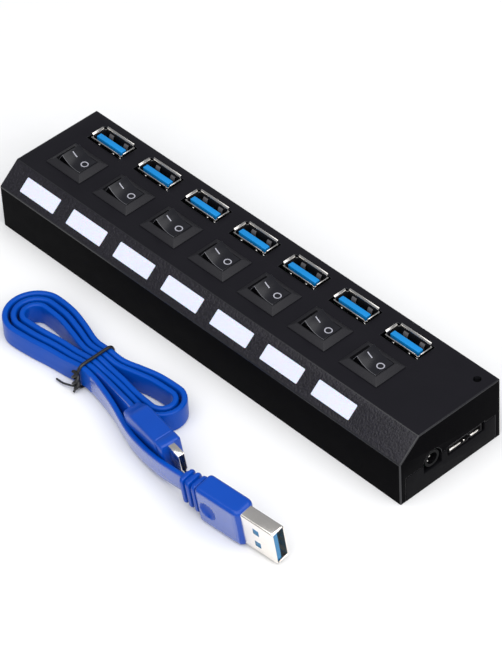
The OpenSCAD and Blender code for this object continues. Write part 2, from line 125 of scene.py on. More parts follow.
# %% A maker for moulded and metal finishes
def finish(name, colour, roughness, specular=0.5, metallic=0.0, coat=0.0, mottle=0.12, mottle_mm=9,
           grain_mm=0.3, grain=0.0, scuff=0.06, stretch=(1, 1, 1), glow=0.0, through=0.0):
    """A Principled finish; mottle varies its colour, scuff its roughness and grain (mm deep) its surface."""
    material = bpy.data.materials.new(name)
    material.use_nodes = True
    nodes, links = material.node_tree.nodes, material.node_tree.links
    shader = nodes["Principled BSDF"]
    shader.inputs["Metallic"].default_value = metallic
    shader.inputs["Specular IOR Level"].default_value = specular
    shader.inputs["Coat Weight"].default_value = coat
    shader.inputs["Coat Roughness"].default_value = 0.12
    shader.inputs["Subsurface Weight"].default_value = through
    shader.inputs["Subsurface Scale"].default_value = 1.5 * MM
    if glow:
        shader.inputs["Emission Color"].default_value = (*colour, 1)
        shader.inputs["Emission Strength"].default_value = glow
    place = nodes.new("ShaderNodeTexCoord")
    turn = nodes.new("ShaderNodeMapping")
    turn.inputs["Scale"].default_value = stretch
    links.new(place.outputs["Object"], turn.inputs["Vector"])

    def noise(size_mm, detail):
        cloud = nodes.new("ShaderNodeTexNoise")
        cloud.inputs["Scale"].default_value = 1 / (size_mm * MM)
        cloud.inputs["Detail"].default_value = detail
        links.new(turn.outputs["Vector"], cloud.inputs["Vector"])
        return cloud.outputs["Fac"]

    blotch = noise(mottle_mm, 3)
    shade = nodes.new("ShaderNodeMix")
    shade.data_type = "RGBA"
    shade.inputs["A"].default_value = (*[c * (1 - mottle) for c in colour], 1)
    shade.inputs["B"].default_value = (*[min(1, c * (1 + mottle)) for c in colour], 1)
    links.new(blotch, shade.inputs["Factor"])
    links.new(shade.outputs["Result"], shader.inputs["Base Color"])
    rub = nodes.new("ShaderNodeMapRange")
    rub.inputs["To Min"].default_value = max(0.02, roughness - scuff)
    rub.inputs["To Max"].default_value = min(1, roughness + scuff)
    links.new(noise(3.5, 5), rub.inputs["Value"])
    links.new(rub.outputs["Result"], shader.inputs["Roughness"])
    if grain:
        bump = nodes.new("ShaderNodeBump")
        bump.inputs["Strength"].default_value = 1
        bump.inputs["Distance"].default_value = grain * MM
        links.new(noise(grain_mm, 2), bump.inputs["Height"])
        links.new(bump.outputs["Normal"], shader.inputs["Normal"])
    return material


# %% The hub's finishes
HOUSING = finish("housing_black", (0.0098, 0.0093, 0.0122), 0.36, specular=0.1, grain_mm=0.25, grain=0.004)
SPARK = finish("housing_spark", (0.009, 0.008, 0.0125), 0.42, specular=0.34, mottle=1.0, mottle_mm=0.7,
               grain_mm=0.7, grain=0.26)
# Painted shade: a darker, less glossy copy of the housing black, for upright faces that stay in shade.
SHADED_SIDE = finish("housing_side_painted_shade", (0.0014, 0.0013, 0.0018), 0.6, specular=0.02, grain_mm=0.3, grain=0.004)
EDGE = finish("housing_edge", (0.01, 0.01, 0.0125), 0.3, specular=0.48)
COVER = finish("cover_black", (0.004, 0.0039, 0.0048), 0.6, specular=0.05, grain_mm=0.3, grain=0.008)
BEZEL = finish("bezel_satin", (0.014, 0.0135, 0.0165), 0.42, specular=0.26, grain_mm=0.3, grain=0.006)
ROCKER = finish("rocker_gloss", (0.0075, 0.0075, 0.0105), 0.3, specular=0.34, grain_mm=0.6, grain=0.004)
# Painted highlight: a bright copy of the rocker black, for the upper front edge of each rocker.
PAINTED_GLINT = finish("rocker_edge_painted_glint", (0.1, 0.1, 0.11), 0.25, specular=0.9)
INK = finish("white_print", (0.4, 0.4, 0.45), 0.5, mottle=0.04)
# The faint glow of this finish is painted light; nothing behind the windows is lit.
MILKY_PAINTED_GLOW = finish("milky_lens_painted_glow", (0.70, 0.715, 0.83), 0.4, specular=0.2, mottle=0.03, glow=0.03, through=0.2)
SMOKED = finish("smoked_lens", (0.0015, 0.0015, 0.002), 0.6, specular=0.05)
LAMP = finish("lamp_resin", (0.85, 0.8, 0.55), 0.25)
AZURE = finish("azure_insulator", (0.006, 0.23, 0.6), 0.36, specular=0.3, mottle=0.08, grain_mm=0.5, grain=0.004)
SHEET = finish("nickel_sheet", (0.66, 0.64, 0.61), 0.24, metallic=1, mottle=0.1, stretch=(1, 1, 14),
               grain_mm=0.5, grain=0.004)
# Painted shade: a nearly black copy of the steel, for the inner walls of the ports and for the upstream shell.
SHADED_SHEET = finish("sheet_painted_shade", (0.035, 0.034, 0.036), 0.6, metallic=1, mottle=0.3, grain_mm=0.5, grain=0.004)
# Painted shade: a darker, grey copy of the steel, for the springs inside the ports.
SHADED_SPRING = finish("spring_painted_shade", (0.13, 0.125, 0.13), 0.7, metallic=0.4, specular=0.3, mottle=0.3)
GOLD = finish("gold_flash", (0.83, 0.61, 0.27), 0.25, metallic=1, mottle=0.06)
NYLON = finish("socket_nylon", (0.0035, 0.0035, 0.004), 0.45, specular=0.07, grain_mm=0.3, grain=0.004)
BOARD = finish("solder_mask", (0.01, 0.09, 0.04), 0.3, mottle=0.4, grain_mm=0.8, grain=0.02)
EPOXY = finish("chip_epoxy", (0.012, 0.012, 0.013), 0.6, grain_mm=0.15, grain=0.01)
CAN = finish("capacitor_can", (0.6, 0.61, 0.63), 0.28, metallic=1, stretch=(1, 1, 8), grain_mm=0.4, grain=0.004)
ZINC = finish("zinc_screw", (0.4, 0.41, 0.43), 0.38, metallic=1, grain_mm=0.3, grain=0.006)

# %% The cable's finishes
GLOSSY = finish("cable_gloss", (0.004, 0.062, 0.42), 0.22, specular=0.5, coat=0.9, mottle=0.1)
JACKET = finish("cable_jacket", (0.0, 0.066, 0.42), 0.32, specular=0.18, mottle=0.1, grain_mm=1.6, grain=0.012)
MOULD = finish("plug_mould", (0.0, 0.058, 0.4), 0.34, specular=0.22, coat=0.3, mottle=0.08, grain_mm=0.4,
               grain=0.008)
POLISHED = finish("plug_polish", (0.0, 0.06, 0.4), 0.24, specular=0.6, coat=1.0, mottle=0.08)
PLATE = finish("plug_plate", (0.93, 0.89, 0.83), 0.22, metallic=1, mottle=0.06, stretch=(1, 1, 14), grain_mm=0.5,
               grain=0.004)
TEAL = finish("plug_insert", (0.02, 0.2, 0.42), 0.35, mottle=0.08)
TIE = finish("tie_plastic", (0.011, 0.011, 0.012), 0.34, specular=0.5, grain_mm=0.5, grain=0.02)
print("finishes:", len(bpy.data.materials))

# %% [markdown]
# ## Small tools for making meshes
# A mesh is a list of points and a list of faces. The helpers here turn lists into
# an object, smooth it while keeping its sharp edges, and join a stack of outlines
# into a closed skin, which is called a loft.

# %% Mesh helpers
def piece(name, mesh, material, angle=32):
    """A visible piece with one finish, smooth except at edges sharper than `angle`."""
    mesh.name = name
    mesh.materials.clear()
    mesh.materials.append(material)
    mesh.shade_smooth()
    mesh.set_sharp_from_angle(angle=math.radians(angle))
    return linked(name, mesh)


def mesh_of(bm):
    """The mesh of a bmesh, which is then freed."""
    mesh = bpy.data.meshes.new("shape")
    bm.to_mesh(mesh)
    bm.free()
    return mesh


def baked(made):
    """The mesh of an object with its modifiers applied. The object is removed."""
    graph = bpy.context.evaluated_depsgraph_get()
    mesh = bpy.data.meshes.new_from_object(made.evaluated_get(graph), depsgraph=graph)
    bpy.data.objects.remove(made)
    return mesh


def shape(points, faces, place=None, closed=True):
    """Points in millimetres and faces, as a mesh in metres with its faces outwards."""
    bm = bmesh.new()
    corners = [bm.verts.new(Vector(p) * MM) for p in points]
    for face in faces:
        bm.faces.new([corners[k] for k in face])
    bmesh.ops.remove_doubles(bm, verts=bm.verts, dist=1e-7)
    if closed:
        bmesh.ops.recalc_face_normals(bm, faces=bm.faces)
    mesh = mesh_of(bm)
    if place:
        mesh.transform(place)
    return mesh


def loft(rings, place=None):
    """A closed skin over rings that all have the same number of points."""
    count = len(rings[0])
    faces = [list(range(count)), [k + (len(rings) - 1) * count for k in range(count)]]
    for r in range(len(rings) - 1):
        for k in range(count):
            a, b = r * count + k, r * count + (k + 1) % count
            faces.append([a, b, b + count, a + count])
    return shape([p for ring in rings for p in ring], faces, place)


def rounded_outline(width, height, radius, arc=4, rows=1):
    """Points round a rectangle with round corners, with `rows` steps along each side."""
    points = []
    for quarter, (sx, sy) in enumerate(((1, 1), (-1, 1), (-1, -1), (1, -1))):
        cx, cy = sx * (width / 2 - radius), sy * (height / 2 - radius)
        for k in range(arc + 1):
            angle = math.radians(90 * (quarter + k / arc))
            points.append((cx + radius * math.cos(angle), cy + radius * math.sin(angle)))
        if rows > 1:
            nx, ny = ((-1, 1), (-1, -1), (1, -1), (1, 1))[quarter]
            follow = math.radians(90 * (quarter + 1))
            ex = nx * (width / 2 - radius) + radius * math.cos(follow)
            ey = ny * (height / 2 - radius) + radius * math.sin(follow)
            lx, ly = points[-1]
            points += [(lx + (ex - lx) * k / rows, ly + (ey - ly) * k / rows) for k in range(1, rows)]
    return points


def joined(*meshes):
    """Several meshes as one."""
    bm = bmesh.new()
    for mesh in meshes:
        bm.from_mesh(mesh)
    return mesh_of(bm)


def circle(cx, cy, radius, count=36):
    return [(cx + radius * math.cos(math.tau * k / count), cy + radius * math.sin(math.tau * k / count))
            for k in range(count)]


def settle(made, body, slot, *nodes):
    """Rides on its body and stands for its CAD nodes. Its slot is not used."""
    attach(made, body)
    if nodes:
        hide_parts(*nodes)
    print(made.name, "->", body, len(made.data.polygons), "faces")
    return made


# %% [markdown]
# ## The cable's route
# A flat cable bends easily one way only, so it stands on its narrow edge and folds
# into loops. Its two ends come out of the hank at the right. The route is one
# smooth line through listed points: six runs pass side by side under the tie,
# three loops turn round the left end and two round the right. The list starts at
# the micro-B plug and ends at the USB-A plug.

# %% Lay out the loops
LEFT_LOOP, RIGHT_LOOP = (-40.9, -42.5), (11.4, -40.8)
LEFT_LEGS = [  # (radius, back leg from the tie, front leg from the tie), as y at x = -13.6 to -34
    (6.3, (-40.4, -40.0, -38.1, -36.5), (-46.4, -46.6, -47.2, -48.3)),
    (3.8, (-42.4, -42.1, -40.5, -39.0), (-44.4, -44.5, -44.9, -45.8)),
    (8.8, (-38.4, -37.9, -35.8, -34.1), (-48.4, -48.8, -49.6, -50.7))]
RIGHT_LEGS = [
    (3.75, (-40.2, -38.8, -37.5), (-42.6, -43.2, -44.1)),
    (6.25, (-38.0, -36.4, -35.0), (-44.5, -45.1, -46.0))]
LEFT_X, RIGHT_X = (-13.6, -20, -27, -34), (-8, -2, 4)
TAIL = [(11.3, -51.2, 7, 7), (8, -50.4, 6.5, 7), (4, -49.3, 5.6, 6), (-2, -47.8, 4.6, 4),
        (-8.2, -46.7, 4.2, 2)]
LEAD = [(-8.2, -48.8, 4.2, 2), (-2, -50.1, 3.9, 4), (4, -51.8, 3.8, 6), (10, -54, 3.8, 7),
        (16, -56, 4, 7), (23, -57.5, 4.6, 7), (30, -58.5, 5.6, 7), (36, -58.9, 6.6, 7), (41.2, -58.9, 7.2, 7)]


def arc(centre, radius, start, end, steps=8):
    return [(centre[0] + radius * math.cos(math.radians(start + (end - start) * k / steps)),
             centre[1] + radius * math.sin(math.radians(start + (end - start) * k / steps)))
            for k in range(steps + 1)]


def left_turn(index, from_front):
    radius, back, front = LEFT_LEGS[index]
    out = list(zip(LEFT_X, front)) + arc(LEFT_LOOP, radius, 270, 90) + list(zip(LEFT_X, back))[::-1]
    return out if from_front else out[::-1]


def right_turn(index, from_front):
    radius, back, front = RIGHT_LEGS[index]
    out = list(zip(RIGHT_X, front)) + arc(RIGHT_LOOP, radius, -90, 90) + list(zip(RIGHT_X, back))[::-1]
    return out if from_front else out[::-1]


def height(x):
    """The runs lie on the floor, and lift a little over the tie that passes under them."""
    near = max(0, 1 - abs(x - LEFT_X[0]) / 6.4)
    return 3.6 + 0.8 * near * near * (3 - 2 * near)


hank = (left_turn(0, True) + right_turn(0, False) + left_turn(1, False)
        + right_turn(1, True) + left_turn(2, False))
route = TAIL + [(x, y, height(x), 0) for x, y in hank] + LEAD
print("route points:", len(route))

# %% [markdown]
# ## Sweeping the flat cable
# A sweep carries one outline along a line. The outline here is a flat strip, seven
# millimetres tall and less than two thick, with round edges. At each step the
# outline is turned to face along the route and leans as much as the route says.

# %% Smooth the route and sweep the cable
def smooth_line(points, step):
    """A Catmull-Rom curve through the points, cut into equal steps."""
    rows = [Vector(p) for p in points]
    rows = [rows[0] * 2 - rows[1]] + rows + [rows[-1] * 2 - rows[-2]]
    fine = []
    for a, b, c, d in zip(rows, rows[1:], rows[2:], rows[3:]):
        for k in range(12):
            t = k / 12
            fine.append(0.5 * ((-a + 3 * b - 3 * c + d) * t ** 3 + (2 * a - 5 * b + 4 * c - d) * t ** 2
                               + (c - a) * t + 2 * b))
    fine.append(rows[-2])
    run = [0]
    for a, b in zip(fine, fine[1:]):
        run.append(run[-1] + (b.xyz - a.xyz).length)
    count = round(run[-1] / step)
    line, k = [], 0
    for n in range(count + 1):
        want = run[-1] * n / count
        while k < len(run) - 2 and run[k + 1] < want:
            k += 1
        line.append(fine[k].lerp(fine[k + 1], (want - run[k]) / max(run[k + 1] - run[k], 1e-9)))
    return line, run[-1]


def swept(line, outline):
    """Rings of `outline` along a line of [x, y, z, lean]; outline is (across, up)."""
    rings = []
    for k, at in enumerate(line):
        along = line[min(k + 1, len(line) - 1)] - line[max(k - 1, 0)]
        side = Vector((-along[1], along[0], 0)).normalized()
        lean = math.radians(at[3])
        up = Vector((0, 0, 1)) * math.cos(lean) - side * math.sin(lean)
        across = side * math.cos(lean) + Vector((0, 0, 1)) * math.sin(lean)
        rings.append([at.xyz + across * a + up * b for a, b in outline])
    return rings


CABLE_WIDE, CABLE_THICK = 7.0, 1.7
cable_line, cable_length = smooth_line(route, 1.1)
strip = rounded_outline(CABLE_THICK, CABLE_WIDE, 0.62, 4, 3)
cable = piece("flat_cable", loft(swept(cable_line, strip)), JACKET, 50)
cable.data.materials.append(GLOSSY)
for face in cable.data.polygons:
    along, across = face.center.x / MM, face.center.y / MM
    if along > -9 and across < -46.9 - 0.24 * max(0, along + 4) and face.normal.y < -0.5:
        face.material_index = 1
settle(cable, "cable", "cable_jacket", "cable_hank", "cable_lead", "cable_tail")
print("cable length", round(cable_length, 1), "mm")

# %% [markdown]
# ## The plugs
# Both plugs are soft mouldings with a metal shell. Each is made lying along X, then
# turned and moved in one step by a matrix, so its object stays at the origin. The
# grip is a loft whose outline shrinks near its ends, which rounds it. Its points
# are dense enough to press an oval thumb dimple into the two wide faces. Those
# faces are polished, and the dimple in them is satin.

# %% Frames of the two plugs
LEAN = 7


def plug_frame(place, yaw):
    return (Matrix.Translation(Vector(place) * MM) @ Matrix.Rotation(math.radians(yaw), 4, "Z")
            @ Matrix.Rotation(math.radians(LEAN), 4, "X"))


USB_A = plug_frame((41, -58.9, 7.2), 3.5)
MICRO_B = plug_frame((11, -51.2, 7.0), -9)


def grip(stations, place, dimple=None, arc_steps=5, rows=20):
    """A loft of (x, thickness, width, corner radius) along X; dimple is (x, z, length, height, depth)."""
    rings = []
    for x, thick, wide, radius in stations:
        ring = []
        for y, z in rounded_outline(thick, wide, radius, arc_steps, rows):
            if dimple and abs(y) > thick / 2 - 0.05:
                dx, dz, long, tall, depth = dimple
                away = math.hypot((x - dx) / (long / 2), (z - dz) / (tall / 2))
                if away < 1:
                    y -= math.copysign(depth * (1 - away ** 4), y)
            ring.append((x, y, z))
        rings.append(ring)
    return loft(rings, place)


def ease(start, end, steps):
    return [start + (end - start) * k / steps for k in range(steps + 1)]


# %% The USB-A plug's moulding
stations = [(7.5, 5.4, 11.9, 0.9), (7.65, 6.2, 12.8, 1.1), (8.0, 6.8, 13.4, 1.2), (8.5, 7.0, 13.6, 1.2)]
stations += [(x, 7.0, 13.6, 1.2) for x in ease(8.8, 21.2, 44)]
stations += [(21.9, 6.9, 13.6, 1.2), (22.5, 6.6, 13.5, 1.2), (22.95, 6.15, 13.3, 1.2), (23.25, 5.6, 13.0, 1.1),
             (23.4, 5.1, 12.6, 1.0), (23.5, 4.6, 12.0, 0.9)]
relief = [(0, 3.4, 8.0, 0.9), (0.3, 4.0, 8.4, 1.0), (2, 4.0, 8.4, 1.0), (4, 4.0, 8.4, 1.0), (6, 4.0, 8.4, 1.0),
          (7.7, 4.4, 9.6, 1.0)]
DIMPLE = (11.6, 0, 5.6, 5.4, 1.0)
grip_mesh = grip(stations, USB_A, DIMPLE)
relief_mesh = grip(relief, USB_A, None, 5, 2)

# %% [markdown]
# ## Ribs by Geometry Nodes
# The strain relief has three ribs. A node tree repeats one rib along a line and
# makes each a little larger than the one before. The tree has named inputs, and
# each is set by its socket's identifier before the tree first runs. The result is
# turned into a plain mesh, and the object that made it is removed.

# %% Helpers for node trees
SOCKETS = {"object": "NodeSocketObject", "count": "NodeSocketInt", "length": "NodeSocketFloat",
           "vector": "NodeSocketVector", "material": "NodeSocketMaterial"}


def new_tree(name, **inputs):
    """An empty node tree with named inputs; returns the tree, its input node and its output node."""
    tree = bpy.data.node_groups.new(name, "GeometryNodeTree")
    for label, kind in inputs.items():
        tree.interface.new_socket(label, in_out="INPUT", socket_type=SOCKETS[kind])
    tree.interface.new_socket("Geometry", in_out="OUTPUT", socket_type="NodeSocketGeometry")
    return tree, tree.nodes.new("NodeGroupInput").outputs, tree.nodes.new("NodeGroupOutput").inputs


def wire_up(tree, socket, source):
    """Links a socket to another one, or sets it to a plain value."""
    if isinstance(source, bpy.types.NodeSocket):
        tree.links.new(source, socket)
    else:
        socket.default_value = source


def node(tree, kind, **wires):
    """A node with its inputs wired or set by name; returns its outputs."""
    made = tree.nodes.new(kind)
    for label, source in wires.items():
        wire_up(tree, made.inputs[label.replace("_", " ")], source)
    return made.outputs


def maths(tree, operation, *terms):
    """A Math node, whose inputs share one name and so are taken in order."""
    made = tree.nodes.new("ShaderNodeMath")
    made.operation = operation
    for socket, term in zip(made.inputs, terms):
        wire_up(tree, socket, term)
    return made.outputs["Value"]


def close_tree(tree, instances, material, result):
    """Ends a tree in Realize Instances and Set Material."""
    real = node(tree, "GeometryNodeRealizeInstances", Geometry=instances)
    painted = node(tree, "GeometryNodeSetMaterial", Geometry=real["Geometry"], Material=material)
    tree.links.new(painted["Geometry"], result["Geometry"])


def grown(tree, **values):
    """Runs a tree and returns its result as a plain mesh."""
    carrier = linked("carrier", bpy.data.meshes.new("carrier"))
    modifier = carrier.modifiers.new("maker", "NODES")
    modifier.node_group = tree
    for item in tree.interface.items_tree:
        if item.in_out == "INPUT":
            modifier[item.identifier] = values[item.name]
    carrier.update_tag()
    mesh = baked(carrier)
    for value in values.values():
        if isinstance(value, bpy.types.Object):
            bpy.data.objects.remove(value)
    return mesh


# %% A tree that repeats a piece along a line
row_tree, given, result = new_tree("row", Piece="object", Count="count", Step="vector", Growth="length",
                                   Finish="material")
spots = node(row_tree, "GeometryNodeMeshLine", Count=given["Count"], Offset=given["Step"])
original = node(row_tree, "GeometryNodeObjectInfo", Object=given["Piece"])
number = node(row_tree, "GeometryNodeInputIndex")
swell = maths(row_tree, "MULTIPLY_ADD", number["Index"], given["Growth"], 1)
copies = node(row_tree, "GeometryNodeInstanceOnPoints", Points=spots["Mesh"], Instance=original["Geometry"],
              Scale=swell)
close_tree(row_tree, copies["Instances"], given["Finish"], result)


def row(mesh, count, step, material, growth=0.0, modifiers=()):
    """`count` copies of a mesh, `step` millimetres apart, as one mesh."""
    first = linked("first", mesh)
    for kind, settings in modifiers:
        added = first.modifiers.new(kind, kind)
        for key, value in settings.items():
            setattr(added, key, value)
    return grown(row_tree, Piece=first, Count=count, Step=Vector(step) * MM, Growth=growth, Finish=material)


# %% Ribs of the strain relief, and the whole USB-A moulding
rib = grip([(-0.7, 4.6, 9.0, 1.0), (-0.5, 5.3, 9.7, 1.1), (0, 5.6, 10.0, 1.2), (0.5, 5.3, 9.7, 1.1),
            (0.7, 4.6, 9.0, 1.0)], None, None, 5, 2)
ribs = row(rib, 3, (2.3, 0, 0), MOULD, growth=0.035)
ribs.transform(USB_A @ Matrix.Translation((1.5 * MM, 0, 0)))
usb_a_mould = piece("usb_a_moulding", joined(grip_mesh, relief_mesh, ribs), MOULD, 40)
usb_a_mould.data.materials.append(POLISHED)
GRIP_START = 8.5
lying = USB_A.inverted()
for face in usb_a_mould.data.polygons:
    wide = abs((lying.to_3x3() @ face.normal).y) > 0.95
    spot = lying @ face.center / MM
    outside = math.hypot((spot.x - DIMPLE[0]) / DIMPLE[2], (spot.z - DIMPLE[1]) / DIMPLE[3]) > 0.5
    if wide and spot.x > GRIP_START and outside:
        face.material_index = 1
settle(usb_a_mould, "cable", "plug_plastic", "usb_a_mould")

# %% [markdown]
# ## Sheet-metal shells
# A plug's shell is one folded strip of thin nickel-plated sheet. It is made as a
# single skin with rows of points where the square latch holes start and end. The
# faces of the holes are left out, and a Solidify modifier gives the skin its
# thickness, inside and at every rim.

# %% A maker for folded shells
def folded(outline, rows, hole, thickness, place, edge=0.0):
    """A tube along X through `rows`, without the faces where hole(x, y, z) is true, given a thickness."""
    bm = bmesh.new()
    rings = []
    for x, shrink in rows:
        rings.append([bm.verts.new(Vector((x, y * shrink, z * shrink)) * MM) for y, z in outline])
    for a, b in zip(rings, rings[1:]):
        for k in range(len(outline)):
            after = (k + 1) % len(outline)
            corners = [a[k], a[after], b[after], b[k]]
            middle = sum((c.co for c in corners), Vector()) / 4 / MM
            if not hole(*middle):
                bm.faces.new(corners)
    bmesh.ops.recalc_face_normals(bm, faces=bm.faces)
    sheet = linked("sheet", mesh_of(bm))
    wall = sheet.modifiers.new("wall", "SOLIDIFY")
    wall.thickness, wall.offset = thickness * MM, -1
    if edge:
        bevel = sheet.modifiers.new("edge", "BEVEL")
        bevel.width, bevel.segments, bevel.limit_method = edge * MM, 2, "ANGLE"
        bevel.angle_limit = math.radians(60)
    mesh = baked(sheet)
    mesh.transform(place)
    return mesh


def walled(width, height, radius, stops):
    """A rounded outline whose long sides, along Z, also have points at the heights `stops`."""
    outline = rounded_outline(width, height, radius, 4)
    found = []
    for k, (y, z) in enumerate(outline):
        found.append((y, z))
        ny, nz = outline[(k + 1) % len(outline)]
        if abs(ny - y) < 0.01 and abs(nz - z) > 1:
            found += [(y, s) for s in sorted(stops, reverse=nz < z)]
    return found


# %% The USB-A plug's shell, insert and contacts
def latch_hole(x, y, z):
    return 27.6 < x < 29.8 and 1.4 < abs(z) < 3.6 and abs(y) > 2


shell_rows = [(22.6, 1), (27.6, 1), (29.8, 1), (34.6, 1), (35.1, 0.985), (35.3, 0.955)]
usb_a_sheet = folded(walled(4.5, 12, 0.55, (-3.6, -1.4, 1.4, 3.6)), shell_rows, latch_hole, 0.3, USB_A)
usb_a_shell = piece("usb_a_shell_sheet", usb_a_sheet, PLATE, 40)
settle(usb_a_shell, "cable", "plated_steel", "usb_a_shell")
insert_stations = [(23.6, 1.9, 11.0, 0.15), (34.5, 1.9, 11.0, 0.15), (34.8, 1.6, 10.7, 0.15)]
insert = grip(insert_stations, USB_A @ Matrix.Translation((0, -0.95 * MM, 0)), None, 3, 1)
usb_a_insert = piece("usb_a_insert", insert, TEAL)
settle(usb_a_insert, "cable", "plug_blue", "usb_a_tongue")
finger = grip([(24.5, 0.12, 1.0, 0.05), (33.6, 0.12, 1.0, 0.05), (33.9, 0.05, 0.9, 0.02)], None, None, 2, 1)
fingers = row(finger, 4, (0, 0, 2.5), GOLD)
fingers.transform(USB_A @ Matrix.Translation((0, 0.05 * MM, -3.75 * MM)))
settle(piece("usb_a_fingers", fingers, GOLD), "cable", "contact_metal")

# %% [markdown]
# ## The micro-B plug
# This plug has a tapered moulding and two small metal barrels side by side, one
# wide and one narrow, joined by a neck. The moulding steps in just before its front
# face, as the real one does where the mould parted.

# %% The micro-B moulding and its barrels
def tapered(x):
    share = min(1, x / 6)
    share = share * share * (3 - 2 * share)
    thick = min(1, x / 2.5)
    return (5.6 + thick, 8.8 + 4.4 * share)


micro_stations = [(0, 4.4, 7.6, 0.8), (0.25, 5.2, 8.5, 0.9)]
micro_stations += [(x, *tapered(x), 1.0) for x in ease(0.7, 6, 8)]
micro_stations += [(17.0, 6.6, 13.2, 1.0), (17.2, 6.6, 13.2, 1.0), (17.35, 6.35, 12.95, 0.9),
                   (17.65, 6.35, 12.95, 0.9), (17.8, 6.6, 13.2, 1.0), (20.3, 6.6, 13.2, 1.0),
                   (20.6, 6.4, 13.0, 0.95), (20.8, 6.1, 12.7, 0.9), (20.9, 5.6, 12.2, 0.8)]
micro_mould = piece("micro_b_moulding", grip(micro_stations, MICRO_B, None, 4, 2), MOULD, 40)
settle(micro_mould, "cable", "plug_plastic", "micro_b_mould")


# Both barrels and their neck, as (across, up) points
BARRELS = [(1.0, 6.1), (-1.0, 6.1), (-1.0, 0.0), (-0.55, -0.7), (-0.55, -2.0), (-1.0, -2.3), (-1.0, -6.1),
           (1.0, -6.1), (1.0, -2.3), (0.55, -2.0), (0.55, -0.7), (1.0, 0.0)]
barrel_rows = [(20.4, 1), (25.8, 1), (26.05, 0.97)]
micro_sheet = folded(BARRELS, barrel_rows, lambda x, y, z: False, 0.25, MICRO_B, 0.12)
settle(piece("micro_b_barrels", micro_sheet, PLATE, 40), "cable", "plated_steel", "micro_b_shell")
print("plugs done")

# %% [markdown]
# ## The twist tie
# A plastic-covered wire goes once round the bundle, and its two ends are twisted
# together at the front. Two wires that wind round each other are easy with a node
# tree: an outline of two circles is carried along the path, and the path's tilt
# turns the outline as it goes.

# %% A tree that twists a pair of wires along a path
twist_tree, given, result = new_tree("twist", Path="object", Radius="length", Turn="length", Finish="material")
path = node(twist_tree, "GeometryNodeObjectInfo", Object=given["Path"])
fine_path = node(twist_tree, "GeometryNodeResampleCurve", Curve=path["Geometry"], Count=60)
share = node(twist_tree, "GeometryNodeSplineParameter")
tilt = maths(twist_tree, "MULTIPLY", share["Factor"], given["Turn"])
tilted = node(twist_tree, "GeometryNodeSetCurveTilt", Curve=fine_path["Curve"], Tilt=tilt)
wire = node(twist_tree, "GeometryNodeCurvePrimitiveCircle", Resolution=10, Radius=given["Radius"])
both = twist_tree.nodes.new("GeometryNodeJoinGeometry")
for side in (-1, 1):
    offset = maths(twist_tree, "MULTIPLY", given["Radius"], side * 0.95)
    aside = node(twist_tree, "ShaderNodeCombineXYZ", X=offset)
    moved = node(twist_tree, "GeometryNodeTransform", Geometry=wire["Curve"], Translation=aside["Vector"])
    twist_tree.links.new(moved["Geometry"], both.inputs["Geometry"])
pair = node(twist_tree, "GeometryNodeCurveToMesh", Curve=tilted["Curve"], Profile_Curve=both.outputs["Geometry"],
            Fill_Caps=True)
close_tree(twist_tree, pair["Mesh"], given["Finish"], result)


def path_object(points):
    """A curve object through points in millimetres, as input for a tree."""
    curve = bpy.data.curves.new("path", "CURVE")
    curve.dimensions = "3D"
    spline = curve.splines.new("POLY")
    spline.points.add(len(points) - 1)
    for dot, point in zip(spline.points, points):
        dot.co = (*(Vector(point) * MM), 1)
    return linked("path", curve)


# %% The loop, the twist and the two free ends
def tube(points, radius, sides=10, flat=1.0):
    """A round tube along points in millimetres, or an oval one when flat is below 1."""
    line = [Vector(p[:3]) for p in smooth_line([(*p, 0) for p in points], 0.35)[0]]
    rings, across = [], None
    for k, at in enumerate(line):
        along = (line[min(k + 1, len(line) - 1)] - line[max(k - 1, 0)]).normalized()
        across = Vector((1, 0, 0)) if across is None else across
        across = (across - along * across.dot(along)).normalized()
        up = along.cross(across)
        rings.append([at + across * radius * math.cos(math.tau * n / sides)
                      + up * radius * flat * math.sin(math.tau * n / sides) for n in range(sides)])
    return loft(rings)


TIE_X = -13.6
over = [(TIE_X - 0.2, -50.5, 5.6), (TIE_X, -49.7, 7.3), (TIE_X + 0.1, -48.3, 8.35), (TIE_X + 0.1, -44, 8.42),
        (TIE_X, -40, 8.38), (TIE_X, -38.0, 8.2), (TIE_X, -37.0, 7.0), (TIE_X, -36.85, 4.5), (TIE_X, -37.0, 1.6),
        (TIE_X, -38.2, 0.5), (TIE_X, -44, 0.5), (TIE_X, -49, 0.5), (TIE_X, -50.3, 1.4), (TIE_X - 0.3, -50.7, 3.2)]
knot = [(TIE_X - 0.3, -50.9, 6.9 - 5.6 * k / 12) for k in range(13)]
twisted = grown(twist_tree, Path=path_object(knot), Radius=0.66 * MM, Turn=math.radians(420), Finish=TIE)
end_left = [(TIE_X - 0.6, -51.2, 1.5), (TIE_X - 2.2, -51.9, 1.5), (TIE_X - 4.6, -52.3, 1.0),
            (TIE_X - 7.4, -52.3, 0.75)]
end_right = [(TIE_X - 0.1, -51.2, 1.7), (TIE_X + 0.1, -51.8, 1.2), (TIE_X + 0.2, -52.5, 0.65)]
wires = joined(tube(over, 0.52, 12, 0.8), twisted, tube(end_left, 0.3), tube(end_right, 0.34))
tie = piece("twist_tie_wire", wires, TIE, 50)
settle(tie, "cable", "tie_plastic", "twist_tie")

# %% [markdown]
# ## Rounded copies of CAD pieces
# No moulded edge is truly sharp, and the light caught by its small radius is what
# makes plastic look moulded. A CAD node's mesh is loose triangles, so a copy is
# merged, its flat faces are joined, and a Bevel modifier rounds the edges that are
# marked with a weight.

